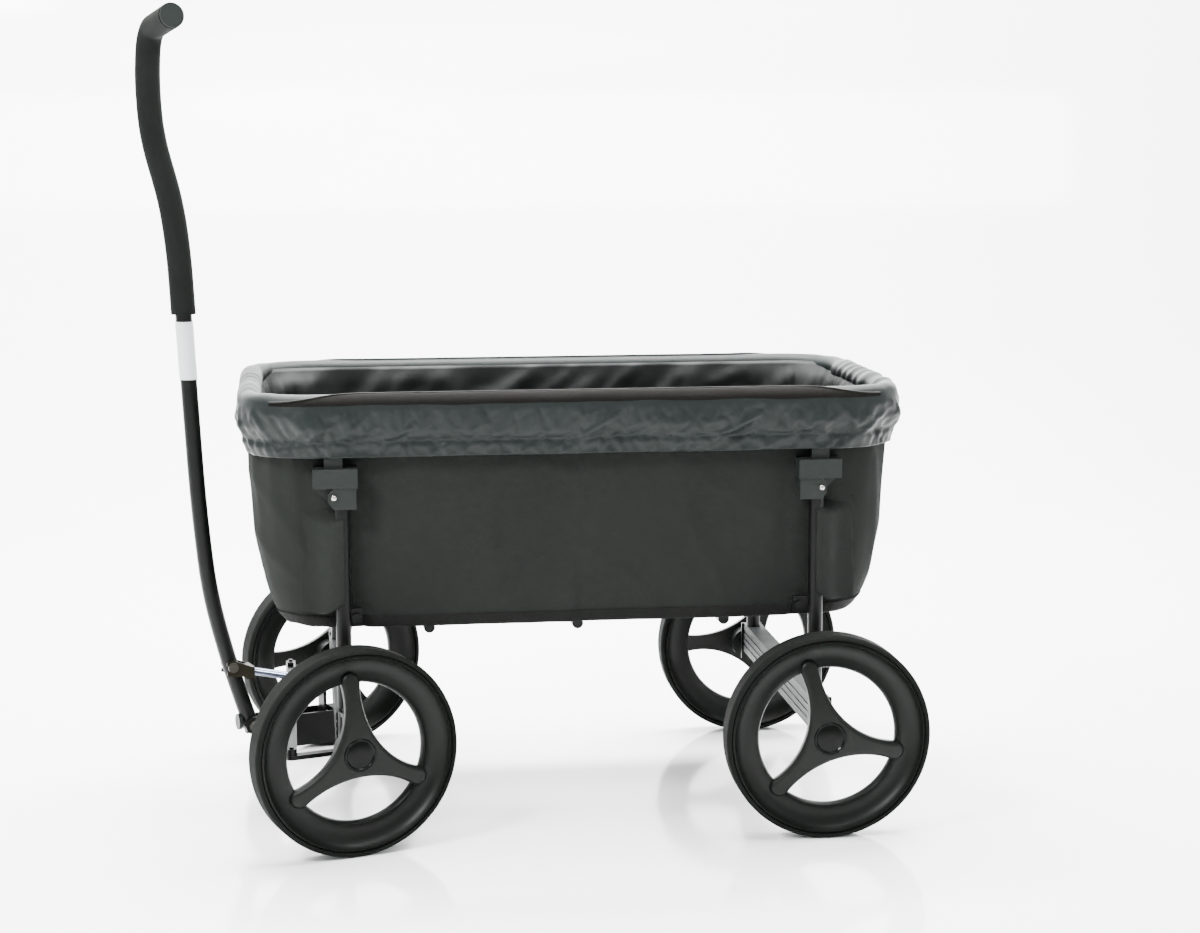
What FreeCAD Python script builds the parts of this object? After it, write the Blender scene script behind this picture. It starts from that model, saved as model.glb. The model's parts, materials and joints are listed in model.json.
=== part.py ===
"""Folding beach cart: two wheeled end frames, a hinged rim and floor, a fabric tub and a steered drawbar.

Millimetres, +Z up, ground at Z = 0, front (drawbar end) towards -X, near side towards -Y.
At rest the drawbar and both front wheels are turned STEER_ANGLE towards the near side.
"""
import FreeCAD, Part
import math
import os

V = FreeCAD.Vector
X_AXIS = V(1, 0, 0)
Y_AXIS = V(0, 1, 0)
Z_AXIS = V(0, 0, 1)

# ---- driving dimensions -------------------------------------------------------------------
WHEEL_R = 137.5            # tyre radius, which is also the axle height
TYRE_HALF_W = 20.0
RIM_SEAT_R = 129.5         # where the tyre sits on the wheel
WINDOW_R = 92.0            # outer edge of the openings between the spokes
SPOKE_END_AT = 94.0        # centre of each spoke's rounded end
CUTTER_AT = 148.0          # centre of the circles that hollow the spokes' sides
WAIST_R = 31.0             # where those circles come nearest to the axle
SPOKE_EDGE_R = 6.5         # rounding along the spokes' outboard edges
REAR_WHEEL_X = 313.5
REAR_WHEEL_Y = 281.5
STEER_ANGLE = 18.0

CENTRE_X = -8.0            # fold plane at mid-length
RIVET_HALF_X = 323.0       # side rivets, from the fold plane
RIVET_Z = 462.0
LEG_Y = 214.0
LEG_R = 10.0
LEG_TOP = RIVET_Z - 4.5    # in the socket of its block, under the rivet
REAR_LEG_X = 311.0
FRONT_LEG_X = -321.0

BEAM_HALF_X = 13.0
BEAM_LOW = 134.0
BEAM_TOP = 178.0
KINGPIN_Y = 251.5
SCRUB = 30.0               # kingpin axis to the wheel's centre plane
ARM_LENGTH = 75.0          # kingpin to tie-rod pin, same as steering pin to tie-rod pin

RIM_Z = 581.0              # axis of the rim tube
RIM_TUBE_R = 10.0
RIM_HALF_X = 431.0         # axis of the rim tube, from the fold plane
RIM_HALF_Y = 217.0
RIM_CORNER_R = 82.0
ROLL_R = 18.0              # padded fabric roll around the rim tube
HEM_DROP = 68.0            # skirt hem below the rim axis

TUB_HALF_Y = 198.5
TUB_WALL = 3.0
TUB_TOP = 566.0
TUB_LOW = 287.0
END_FLOOR_X = 303.0        # tub end bottoms reach in to here, from the fold plane

FLOOR_PIVOT_X = 296.0      # from the fold plane
FLOOR_PIVOT_Z = 300.0
FLOOR_GAP = 18.0           # floor panel's inner edge to the fold plane
FLOOR_TUBE_X = 199.0
FLOOR_TUBE_Z = 278.0
FLOOR_TUBE_R = 7.5
FLOOR_TUBE_Y = 187.0

TONGUE_HINGE_S = 134.0     # drawbar hinge, ahead of the steering pin
TONGUE_HINGE_Z = 118.0
LOCK_BOLT_S = 162.0
LOCK_BOLT_Z = 203.0
TUBE_R = 11.0              # drawbar tube
STEEL_WALL = 1.5           # wall of the steel tubes
BEAM_WALL = 3.0
GRIP_R = 16.5
FIT = 0.05                 # radial running clearance of pins and shafts
GAP = 0.4                  # clearance between faces of different bodies

FRONT_RIVET_X = CENTRE_X - RIVET_HALF_X
REAR_RIVET_X = CENTRE_X + RIVET_HALF_X

os.makedirs("parts", exist_ok=True)


# ---- small helpers ------------------------------------------------------------------------
def save(name, *solids):
    shape = solids[0] if len(solids) == 1 else Part.makeCompound(list(solids))
    shape.exportStep("parts/" + name + ".step")


def box(x0, x1, y0, y1, z0, z1):
    return Part.makeBox(x1 - x0, y1 - y0, z1 - z0, V(x0, y0, z0))


def cylinder(radius, start, end):
    axis = V(*end) - V(*start)
    return Part.makeCylinder(radius, axis.Length, V(*start), axis)


def y_cylinder(radius, x, z, y0, y1):
    return Part.makeCylinder(radius, y1 - y0, V(x, y0, z), Y_AXIS)


def z_cylinder(radius, x, y, z0, z1):
    return Part.makeCylinder(radius, z1 - z0, V(x, y, z0), Z_AXIS)


def fuse(first, *others):
    return first.multiFuse(list(others)).removeSplitter()


def mirror_y(shape):
    return shape.mirror(V(0, 0, 0), Y_AXIS)


def mirror_fold(shape):
    return shape.mirror(V(CENTRE_X, 0, 0), X_AXIS)


def turned(shape, x, y, degrees=STEER_ANGLE):
    copy = shape.copy()
    copy.rotate(V(x, y, 0), Z_AXIS, degrees)
    return copy


def plate_xz(points, y0, y1):
    """A flat plate whose outline lies in the XZ plane."""
    corners = [V(x, y0, z) for x, z in points]
    face = Part.Face(Part.makePolygon(corners + corners[:1]))
    return face.extrude(V(0, y1 - y0, 0))


def round_path(points):
    """Straight runs joined by tangent arcs, as large as the runs allow."""
    points = [V(*p) for p in points]
    edges = []
    start = points[0]
    for before, corner, after in zip(points, points[1:], points[2:]):
        run_in = before - corner
        run_out = after - corner
        into = V(run_in).normalize()
        out = V(run_out).normalize()
        cut = 0.45 * min(run_in.Length, run_out.Length)
        half = (math.pi - into.getAngle(out)) / 2
        radius = cut / math.tan(half)
        first = corner + into * cut
        last = corner + out * cut
        bisector = V(into + out).normalize()
        middle = corner + bisector * (math.hypot(radius, cut) - radius)
        edges.append(Part.LineSegment(start, first).toShape())
        edges.append(Part.Arc(first, middle, last).toShape())
        start = last
    edges.append(Part.LineSegment(start, points[-1]).toShape())
    return Part.Wire(edges)


def pipe(path, radius):
    edge = path.Edges[0]
    start = edge.valueAt(edge.FirstParameter)
    along = edge.tangentAt(edge.FirstParameter)
    ring = Part.Wire(Part.Circle(start, along, radius).toShape())
    return Part.Wire(path.Edges).makePipeShell([ring], True, False)


# ---- wheels -------------------------------------------------------------------------------
def revolve_section(edges):
    """Turn a closed section in the XY plane (X = radius, Y = outboard) about the Y axis."""
    face = Part.Face(Part.Wire(edges))
    return face.revolve(V(0, 0, 0), Y_AXIS, 360)


def line(a, b):
    return Part.LineSegment(V(*a, 0), V(*b, 0)).toShape()


def arc(a, b, c):
    return Part.Arc(V(*a, 0), V(*b, 0), V(*c, 0)).toShape()


def polyline(*points):
    return [line(a, b) for a, b in zip(points, points[1:])]


def tyre():
    """Foam tyre as a thin round-shouldered tread, a step proud of the wheel's rim."""
    seat = RIM_SEAT_R + FIT
    return revolve_section(
        polyline((seat, 15.5), (131.0, 16.2), (131.6, TYRE_HALF_W))
        + [arc((131.6, TYRE_HALF_W), (135.9, 17.6), (WHEEL_R, 12))]
        + [line((WHEEL_R, 12), (WHEEL_R, -12))]
        + [arc((WHEEL_R, -12), (135.9, -17.6), (131.6, -TYRE_HALF_W))]
        + polyline((131.6, -TYRE_HALF_W), (131.0, -16.2), (seat, -15.5), (seat, 15.5))
    )


def rim_ring():
    """Moulded ring with a deep round channel on both faces."""
    return revolve_section(
        [
            line((RIM_SEAT_R, -17.5), (RIM_SEAT_R, 17.5)),
            line((RIM_SEAT_R, 17.5), (127.5, 18.5)),
            arc((127.5, 18.5), (111, 4), (95, 8.5)),
            arc((95, 8.5), (WINDOW_R, 2), (94, -6)),
            arc((94, -6), (110, -4), (127.5, -18.5)),
            line((127.5, -18.5), (RIM_SEAT_R, -17.5)),
        ]
    )


def plan_point(radius, degrees):
    """A point in the wheel's plane, inboard of the hub."""
    angle = math.radians(degrees)
    return V(radius * math.cos(angle), -20, radius * math.sin(angle))


def star_outline(phase):
    """Three thumb-shaped spokes joined by concave waists."""
    reach = math.sqrt(CUTTER_AT**2 + SPOKE_END_AT**2 - CUTTER_AT * SPOKE_END_AT)
    end_r = reach - (CUTTER_AT - WAIST_R)

    def end_meets_cutter(spoke_angle, side):
        centre = plan_point(SPOKE_END_AT, spoke_angle)
        towards = plan_point(CUTTER_AT, spoke_angle + side) - centre
        return centre + towards.normalize() * end_r

    edges = []
    for along in (phase, phase + 120, phase + 240):
        first = end_meets_cutter(along, -60)
        tip = plan_point(SPOKE_END_AT + end_r, along)
        last = end_meets_cutter(along, 60)
        waist = plan_point(WAIST_R, along + 60)
        following = end_meets_cutter(along + 120, -60)
        edges.append(Part.Arc(first, tip, last).toShape())
        edges.append(Part.Arc(last, waist, following).toShape())
    return Part.Wire(edges)


def star(phase):
    """The spokes, crowned outboard and dished inboard, with rounded outboard edges."""
    slab = revolve_section(
        [
            arc((0, 24), (60, 20), (108, 11)),
            line((108, 11), (108, -3)),
            arc((108, -3), (60, 8), (24, 10)),
            line((24, 10), (24, -14)),
            line((24, -14), (0, -14)),
            line((0, -14), (0, 24)),
        ]
    )
    prism = Part.Face(star_outline(phase)).extrude(V(0, 60, 0))
    body = prism.common(slab).Solids[0]

    def on_outboard_rim(edge):
        ends = [vertex.Point for vertex in edge.Vertexes]
        return len(ends) == 2 and min(point.y for point in ends) > 10.5

    return body.makeFillet(SPOKE_EDGE_R, [edge for edge in body.Edges if on_outboard_rim(edge)])


def wheel(phase):
    """Wheel on the Y axis, outboard towards +Y; phase turns the spokes."""
    hub = y_cylinder(24, 0, 0, -14, 12)
    body = fuse(star(phase), rim_ring(), hub)
    for bore in (
        y_cylinder(8.5, 0, 0, -15, 30),
        y_cylinder(11 + FIT, 0, 0, -15, -6.5),
        y_cylinder(11 + FIT, 0, 0, 7, 30),
        y_cylinder(22, 0, 0, 20.5, 30),
    ):
        body = body.cut(bore)
    return body


def hub_cap():
    """Round cap with a raised ring, sunk in the hub."""
    return revolve_section(
        [
            line((0, 20.6), (21.5, 20.6)),
            line((21.5, 20.6), (21.5, 23.2)),
            arc((21.5, 23.2), (20.3, 24.8), (18.6, 24.0)),
            line((18.6, 24.0), (17.4, 22.9)),
            arc((17.4, 22.9), (11.5, 23.9), (5, 24.4)),
            line((5, 24.4), (0, 24.4)),
            line((0, 24.4), (0, 20.6)),
        ]
    )


def wheel_bearings():
    rings = []
    for start in (-13.5, 7.2):
        outer = y_cylinder(11, 0, 0, start, start + 7)
        rings.append(outer.cut(y_cylinder(6 + FIT, 0, 0, start - 1, start + 8)))
    return rings


def stub_axle(inner):
    """Fixed axle with its retaining nut, from inner out to inside the hub cap."""
    nut = y_cylinder(8.5, 0, 0, 14.7, 19.5)
    return fuse(y_cylinder(6, 0, 0, inner, 20), nut)


def place_wheel(shape, near, x, y, steer):
    """Move a shape built on the Y axis to its wheel centre; near wheels face -Y."""
    placed = mirror_y(shape) if near else shape.copy()
    if steer:
        placed.rotate(V(0, 0, 0), Z_AXIS, STEER_ANGLE)
    placed.translate(V(x, y, WHEEL_R))
    return placed


def steered_centre(side):
    angle = math.radians(STEER_ANGLE)
    x = FRONT_LEG_X - side * SCRUB * math.sin(angle)
    y = side * (KINGPIN_Y + SCRUB * math.cos(angle))
    return x, y


WHEELS = (
    ("front_near", True, *steered_centre(-1), True, 94),
    ("front_far", False, *steered_centre(1), True, 60),
    ("rear_near", True, REAR_WHEEL_X, -REAR_WHEEL_Y, False, 106),
    ("rear_far", False, REAR_WHEEL_X, REAR_WHEEL_Y, False, 60),
)
for name, near, x, y, steer, phase in WHEELS:
    save("tyre_" + name, place_wheel(tyre(), near, x, y, steer))
    save("wheel_" + name, place_wheel(wheel(phase), near, x, y, steer))
    save("hub_cap_" + name, place_wheel(hub_cap(), near, x, y, steer))
    bearings = [place_wheel(ring, near, x, y, steer) for ring in wheel_bearings()]
    save("bearings_" + name, *bearings)


# ---- end frames: beams, legs and blocks ----------------------------------------------------
def beam(x, half_y):
    """Hollow extruded cross beam with shallow grooves along its faces."""
    body = box(x - BEAM_HALF_X, x + BEAM_HALF_X, -half_y, half_y, BEAM_LOW, BEAM_TOP)
    inside = BEAM_HALF_X - BEAM_WALL
    body = body.cut(
        box(x - inside, x + inside, -half_y - 1, half_y + 1, BEAM_LOW + BEAM_WALL, BEAM_TOP - BEAM_WALL)
    )
    for z in (146, 156, 166):
        for side in (-1, 1):
            face = x + side * BEAM_HALF_X
            body = body.cut(box(face - 1.2, face + 1.2, -half_y - 1, half_y + 1, z - 2, z + 2))
    return body


def leg(x, side):
    """Leg tube from the beam's top up into its block."""
    outer = z_cylinder(LEG_R, x, side * LEG_Y, BEAM_TOP, LEG_TOP)
    return outer.cut(z_cylinder(LEG_R - STEEL_WALL, x, side * LEG_Y, BEAM_TOP - 1, LEG_TOP + 1))


def block_profile(x, inward):
    """Casting on the leg's top; its outer top corner is cut back so the rim can swing."""
    outline = [
        (x - inward * 7, RIVET_Z - 8),
        (x - inward * 7, RIVET_Z + 4),
        (x - inward * 4.5, RIVET_Z + 9),
        (x, RIVET_Z + 12 - GAP),
        (x + inward * 29, RIVET_Z + 12 - GAP),
        (x + inward * 29, RIVET_Z - 16),
        (x, RIVET_Z - 16),
    ]
    return outline


def leg_block(rivet_x, leg_x, inward):
    body = plate_xz(block_profile(rivet_x, inward), 203.0, 228.0)
    body = body.cut(z_cylinder(LEG_R + FIT, leg_x, LEG_Y, RIVET_Z - 30, LEG_TOP))
    return body.cut(y_cylinder(3 + FIT, rivet_x, RIVET_Z, 190, 240))


def floor_pivot(leg_x, inward, pivot_x):
    """Lug on the leg with the bolt that the floor rail turns on."""
    lug = box(min(leg_x, pivot_x + 8 * inward), max(leg_x, pivot_x + 8 * inward), 208, 214, 288, 312)
    lug = lug.cut(z_cylinder(LEG_R + FIT, leg_x, LEG_Y, 280, 320))
    bolt = y_cylinder(3, pivot_x, FLOOR_PIVOT_Z, 186, 210)
    nut = y_cylinder(6, pivot_x, FLOOR_PIVOT_Z, 214, 219)
    return fuse(lug, bolt, nut)


def leg_sleeve(leg_x, inward):
    """Open-ended fabric pocket around the leg, deeper towards the cart's end."""
    end = leg_x - inward * 45
    middle = leg_x + inward * 13
    low = min(end, middle)
    high = max(end, middle)
    outer = box(low, high, 201.5, 229, 330, 440)
    return outer.cut(box(low + 2, high - 2, 203.2, 227, 300, 460))


def both_sides(shape):
    return [mirror_y(shape), shape]


FRONT_PIVOT_X = CENTRE_X - FLOOR_PIVOT_X
REAR_PIVOT_X = CENTRE_X + FLOOR_PIVOT_X

save("rear_beam", beam(REAR_WHEEL_X, 236.0))
save("rear_leg_near", leg(REAR_LEG_X, -1))
save("rear_leg_far", leg(REAR_LEG_X, 1))
save("rear_leg_blocks", *both_sides(leg_block(REAR_RIVET_X, REAR_LEG_X, -1)))
save("rear_floor_pivots", *both_sides(floor_pivot(REAR_LEG_X, -1, REAR_PIVOT_X)))
save("rear_leg_sleeves", *both_sides(leg_sleeve(REAR_LEG_X, -1)))

rear_axle = fuse(
    box(-16, 16, 236.1 - REAR_WHEEL_Y, 241 - REAR_WHEEL_Y, -15, 40),
    stub_axle(240 - REAR_WHEEL_Y),
    y_cylinder(11, 0, 0, 241 - REAR_WHEEL_Y, -14.5),
)
rear_axle.translate(V(REAR_WHEEL_X, REAR_WHEEL_Y, WHEEL_R))
save("rear_axles", *both_sides(rear_axle))

front_beam = beam(FRONT_LEG_X, 234.0)
front_beam = front_beam.cut(z_cylinder(6 + FIT, FRONT_LEG_X, 0, 100, 200))
save("front_beam", front_beam)
save("front_leg_near", leg(FRONT_LEG_X, -1))
save("front_leg_far", leg(FRONT_LEG_X, 1))
save("front_leg_blocks", *both_sides(leg_block(FRONT_RIVET_X, FRONT_LEG_X, 1)))
save("front_floor_pivots", *both_sides(floor_pivot(FRONT_LEG_X, 1, FRONT_PIVOT_X)))
save("front_leg_sleeves", *both_sides(leg_sleeve(FRONT_LEG_X, 1)))

housing = fuse(
    z_cylinder(10, FRONT_LEG_X, KINGPIN_Y, BEAM_LOW, BEAM_TOP),
    box(FRONT_LEG_X - 9, FRONT_LEG_X + 9, 234.1, KINGPIN_Y - 4, BEAM_LOW + 2, BEAM_TOP - 2),
)
housing = housing.cut(z_cylinder(5 + FIT, FRONT_LEG_X, KINGPIN_Y, 100, 200))
save("kingpin_housings", *both_sides(housing))

steering_pin = fuse(
    z_cylinder(6, FRONT_LEG_X, 0, 80, 184),
    z_cylinder(11, FRONT_LEG_X, 0, BEAM_TOP + 0.1, 184),
    z_cylinder(10, FRONT_LEG_X, 0, 76, 82.6),
)
save("steering_pin", steering_pin)


# ---- steering: knuckles, tie rod and tongue -------------------------------------------------
LUG_T = 5.6
ARM_TOP = BEAM_LOW - GAP
ARM_LOW = ARM_TOP - LUG_T


def knuckle():
    """Fork round the kingpin housing, with kingpin, stub axle and forward steering arm."""
    x = FRONT_LEG_X
    y = KINGPIN_Y
    top = z_cylinder(10, x, y, BEAM_TOP + GAP, BEAM_TOP + GAP + LUG_T)
    low = z_cylinder(10, x, y, ARM_LOW, ARM_TOP)
    top_web = box(x - 9, x + 9, y, y + 15, BEAM_TOP + GAP, BEAM_TOP + GAP + LUG_T)
    low_web = box(x - 9, x + 9, y, y + 15, ARM_LOW, ARM_TOP)
    wall = box(x - 9, x + 9, y + 11, y + 15, ARM_LOW, BEAM_TOP + GAP + LUG_T)
    kingpin = z_cylinder(5, x, y, ARM_LOW, BEAM_TOP + GAP + LUG_T + 3)
    arm = box(x - ARM_LENGTH, x, y - 7, y + 7, ARM_LOW, ARM_TOP)
    arm_end = z_cylinder(7, x - ARM_LENGTH, y, ARM_LOW, ARM_TOP)
    arm_pin = z_cylinder(3, x - ARM_LENGTH, y, ARM_LOW, ARM_TOP + 11)
    axle = stub_axle(12 - SCRUB)
    axle.translate(V(x, y + SCRUB, WHEEL_R))
    return fuse(top, low, top_web, low_web, wall, kingpin, arm, arm_end, arm_pin, axle)


save("knuckle_far", turned(knuckle(), FRONT_LEG_X, KINGPIN_Y))
save("knuckle_near", turned(mirror_y(knuckle()), FRONT_LEG_X, -KINGPIN_Y))

# The rod stays square to the cart, so it is placed, not turned.
steer = math.radians(STEER_ANGLE)
rod_x = FRONT_LEG_X - ARM_LENGTH * math.cos(steer)
rod_y = -ARM_LENGTH * math.sin(steer)
ROD_LOW = ARM_TOP + GAP
ROD_TOP = ROD_LOW + 8
tie_rod = box(rod_x - 7, rod_x + 7, rod_y - KINGPIN_Y, rod_y + KINGPIN_Y, ROD_LOW, ROD_TOP)
tie_rod = tie_rod.cut(
    box(rod_x - 4.5, rod_x + 4.5, rod_y - KINGPIN_Y + 12, rod_y - 12, ROD_LOW + 2.5, ROD_TOP + 1)
)
tie_rod = tie_rod.cut(
    box(rod_x - 4.5, rod_x + 4.5, rod_y + 12, rod_y + KINGPIN_Y - 12, ROD_LOW + 2.5, ROD_TOP + 1)
)
for offset in (-KINGPIN_Y, 0, KINGPIN_Y):
    tie_rod = tie_rod.fuse(z_cylinder(7, rod_x, rod_y + offset, ROD_LOW, ROD_TOP))
for offset in (-KINGPIN_Y, 0, KINGPIN_Y):
    tie_rod = tie_rod.cut(z_cylinder(3 + FIT, rod_x, rod_y + offset, 100, 200))
save("tie_rod", tie_rod.removeSplitter())


def ahead(s):
    """X of a point s ahead of the steering pin, before the tongue is turned."""
    return FRONT_LEG_X - s


CHANNEL_LOW = 83.0
CHANNEL_TOP = 128.0
channel = box(ahead(112), ahead(-16), -20, 20, CHANNEL_LOW, CHANNEL_TOP)
channel = channel.cut(box(ahead(109), ahead(-13), -17, 17, CHANNEL_LOW + 3, CHANNEL_TOP + 1))
bridge_rear = box(ahead(16), ahead(-16), -20, 20, CHANNEL_TOP - 3, CHANNEL_TOP)
bridge_front = box(ahead(86), ahead(64), -20, 20, CHANNEL_TOP - 3, ARM_TOP)
yoke = box(ahead(31), ahead(27), -12, 12, CHANNEL_LOW, BEAM_TOP - 2)
yoke_foot = box(ahead(31), ahead(27), -20, 20, CHANNEL_LOW, CHANNEL_TOP)
ears = []
for side in (-1, 1):
    low_y = min(side * 12.6, side * 17)
    ear = box(ahead(134), ahead(108), low_y, low_y + 4.4, 106, CHANNEL_TOP)
    ears.append(ear)
    ears.append(y_cylinder(12, ahead(TONGUE_HINGE_S), TONGUE_HINGE_Z, low_y, low_y + 4.4))
rod_pin = z_cylinder(3, ahead(ARM_LENGTH), 0, ARM_TOP, ROD_TOP + 3)
tongue = fuse(channel, bridge_rear, bridge_front, yoke, yoke_foot, rod_pin, *ears)
tongue = tongue.cut(z_cylinder(6 + FIT, FRONT_LEG_X, 0, 60, 140))
tongue = tongue.cut(y_cylinder(4 + FIT, ahead(TONGUE_HINGE_S), TONGUE_HINGE_Z, -30, 30))
save("tongue", turned(tongue, FRONT_LEG_X, 0))

hinge_pin = fuse(
    y_cylinder(4, ahead(TONGUE_HINGE_S), TONGUE_HINGE_Z, -20, 20),
    y_cylinder(7, ahead(TONGUE_HINGE_S), TONGUE_HINGE_Z, 17.2, 20.5),
    y_cylinder(7, ahead(TONGUE_HINGE_S), TONGUE_HINGE_Z, -20.5, -17.2),
)
save("drawbar_hinge_pin", turned(hinge_pin, FRONT_LEG_X, 0))

brace_rods = []
for y in (-8.0, 8.0):
    rod = cylinder(4, (ahead(31.2), y, 168), (ahead(134), y, 193))
    brace_rods.append(turned(rod, FRONT_LEG_X, 0))
save("brace_rods", *brace_rods)

# Fork that holds the drawbar's cross bolt; its slot opens along the bolt's first travel.
fork = box(ahead(143), ahead(131), -16, 16, 185, 201)
for y in (-8.0, 8.0):
    fork = fork.cut(cylinder(4 + FIT, (ahead(31.2), y, 168), (ahead(134), y, 193)))
arm_outline = [
    (ahead(132), 188),
    (ahead(132), 200),
    (ahead(160), 212),
    (ahead(170), 210),
    (ahead(170), 192),
    (ahead(158), 189),
]
slot_fall = 0.31
slot_outline = [
    (ahead(LOCK_BOLT_S), LOCK_BOLT_Z + 4.4),
    (ahead(LOCK_BOLT_S + 24), LOCK_BOLT_Z + 4.4 - 24 * slot_fall),
    (ahead(LOCK_BOLT_S + 24), LOCK_BOLT_Z - 4.4 - 24 * slot_fall),
    (ahead(LOCK_BOLT_S), LOCK_BOLT_Z - 4.4),
]
for y in (-16.0, 12.6):
    fork = fork.fuse(plate_xz(arm_outline, y, y + 3.4))
fork = fork.cut(plate_xz(slot_outline, -30, 30))
fork = fork.cut(y_cylinder(4.4, ahead(LOCK_BOLT_S), LOCK_BOLT_Z, -30, 30))
save("brace_fork", turned(fork.removeSplitter(), FRONT_LEG_X, 0))


# ---- drawbar -------------------------------------------------------------------------------
# Height and lead (distance ahead of the steering pin) of the bent tube's corners.
DRAWBAR_CORNERS = (
    (131, 108),
    (163, 207),
    (188, 308),
    (200, 430),
    (209, 600),
    (217.5, 770),
    (226, 838),
    (250, 928),
    (254, 1000),
    (249.5, 1064),
)
GRIP_LOW = 690.0
LABEL_LOW = 602.0
LABEL_TOP = 680.0
GRIP_SIDE = 112.0          # sideways reach of the handle's end
GRIP_RISE = 15.0

corners = [(ahead(s), 0, z) for s, z in DRAWBAR_CORNERS]
corners.append((corners[-1][0], -GRIP_SIDE, DRAWBAR_CORNERS[-1][1] + GRIP_RISE))
drawbar_path = round_path(corners)
drawbar = pipe(drawbar_path, TUBE_R).cut(pipe(drawbar_path, TUBE_R - STEEL_WALL))
bolt_bore = y_cylinder(4 + FIT, ahead(LOCK_BOLT_S), LOCK_BOLT_Z, -30, 30)
hinge_bore = y_cylinder(4 + FIT, ahead(TONGUE_HINGE_S), TONGUE_HINGE_Z, -30, 30)
save("drawbar_tube", turned(drawbar.cut(bolt_bore).cut(hinge_bore), FRONT_LEG_X, 0))

skin = pipe(drawbar_path, TUBE_R + FIT)
foam = pipe(drawbar_path, GRIP_R).common(box(-800, -400, -300, 100, GRIP_LOW, 1200)).cut(skin)
save("drawbar_grip", turned(foam, FRONT_LEG_X, 0))
label = pipe(drawbar_path, TUBE_R + 1).common(box(-800, -400, -50, 50, LABEL_LOW, LABEL_TOP))
save("drawbar_label", turned(label.cut(skin), FRONT_LEG_X, 0))

end = V(*corners[-1])
outward = (end - V(*corners[-2])).normalize()
end_cap = Part.makeCylinder(GRIP_R - 1, 3, end + outward * 0.1, outward)
save("grip_end_cap", turned(end_cap, FRONT_LEG_X, 0))

bumper = cylinder(11, (ahead(148), 0, 122), (ahead(153), 0, 122)).cut(pipe(drawbar_path, TUBE_R + FIT))
stem = cylinder(7, (ahead(138), 0, 122), (ahead(150), 0, 122)).cut(pipe(drawbar_path, TUBE_R + FIT))
front_side = box(ahead(160), ahead(140), -20, 20, 100, 140)
save("drawbar_bumper", turned(fuse(bumper, stem.common(front_side)), FRONT_LEG_X, 0))

lock_bolt = fuse(
    y_cylinder(4, ahead(LOCK_BOLT_S), LOCK_BOLT_Z, -19.5, 19.5),
    y_cylinder(7, ahead(LOCK_BOLT_S), LOCK_BOLT_Z, 16.6, 19.5),
    y_cylinder(7, ahead(LOCK_BOLT_S), LOCK_BOLT_Z, -19.5, -16.6),
)
save("lock_bolt", turned(lock_bolt, FRONT_LEG_X, 0))


# ---- rim: two bent tube halves hinged at mid-length ------------------------------------------
HINGE_CUT = 12.0           # tube ends stop this far from the hinge pin
EAR_R = 6.0


def half_path(inset, z, start_x):
    """Rear half of the rounded rectangle, inset from the rim's axis, near side to far side."""
    half_y = RIM_HALF_Y - inset
    end_x = CENTRE_X + RIM_HALF_X - inset
    corner = RIM_CORNER_R - inset
    edges = []
    diagonal = corner * (1 - math.sqrt(0.5))
    near_in = V(end_x - corner, -half_y, z)
    near_mid = V(end_x - diagonal, -half_y + diagonal, z)
    near_out = V(end_x, -half_y + corner, z)
    far_in = V(end_x, half_y - corner, z)
    far_mid = V(end_x - diagonal, half_y - diagonal, z)
    far_out = V(end_x - corner, half_y, z)
    edges.append(Part.LineSegment(V(start_x, -half_y, z), near_in).toShape())
    edges.append(Part.Arc(near_in, near_mid, near_out).toShape())
    edges.append(Part.LineSegment(near_out, far_in).toShape())
    edges.append(Part.Arc(far_in, far_mid, far_out).toShape())
    edges.append(Part.LineSegment(far_out, V(start_x, half_y, z)).toShape())
    return Part.Wire(edges)


rim_path = half_path(0, RIM_Z, CENTRE_X + HINGE_CUT)
rim_rear = pipe(rim_path, RIM_TUBE_R).cut(pipe(rim_path, RIM_TUBE_R - STEEL_WALL))
save("rim_tube_rear", rim_rear)
save("rim_tube_front", mirror_fold(rim_rear))

clevises = []
tangs = []
for side in (-1, 1):
    y = side * RIM_HALF_Y
    plug = cylinder(RIM_TUBE_R - STEEL_WALL - FIT, (CENTRE_X + 9, y, RIM_Z), (CENTRE_X + 24, y, RIM_Z))
    tang_neck = box(CENTRE_X - HINGE_CUT + 0.1, CENTRE_X, y - 2.9, y + 2.9, RIM_Z - EAR_R, RIM_Z + EAR_R)
    tang = fuse(tang_neck, y_cylinder(EAR_R, CENTRE_X, RIM_Z, y - 2.9, y + 2.9), mirror_fold(plug))
    tangs.append(tang.cut(y_cylinder(2.5 + FIT, CENTRE_X, RIM_Z, y - 20, y + 20)))
    clevis = [y_cylinder(2.5, CENTRE_X, RIM_Z, y - 7, y + 7), plug]
    for low in (y - 7, y + 3.3):
        neck = box(CENTRE_X, CENTRE_X + HINGE_CUT - 0.1, low, low + 3.7, RIM_Z - EAR_R, RIM_Z + EAR_R)
        clevis.append(neck)
        clevis.append(y_cylinder(EAR_R, CENTRE_X, RIM_Z, low, low + 3.7))
    clevises.append(fuse(*clevis))
save("rim_clevises", *clevises)
save("rim_tangs", *tangs)


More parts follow.
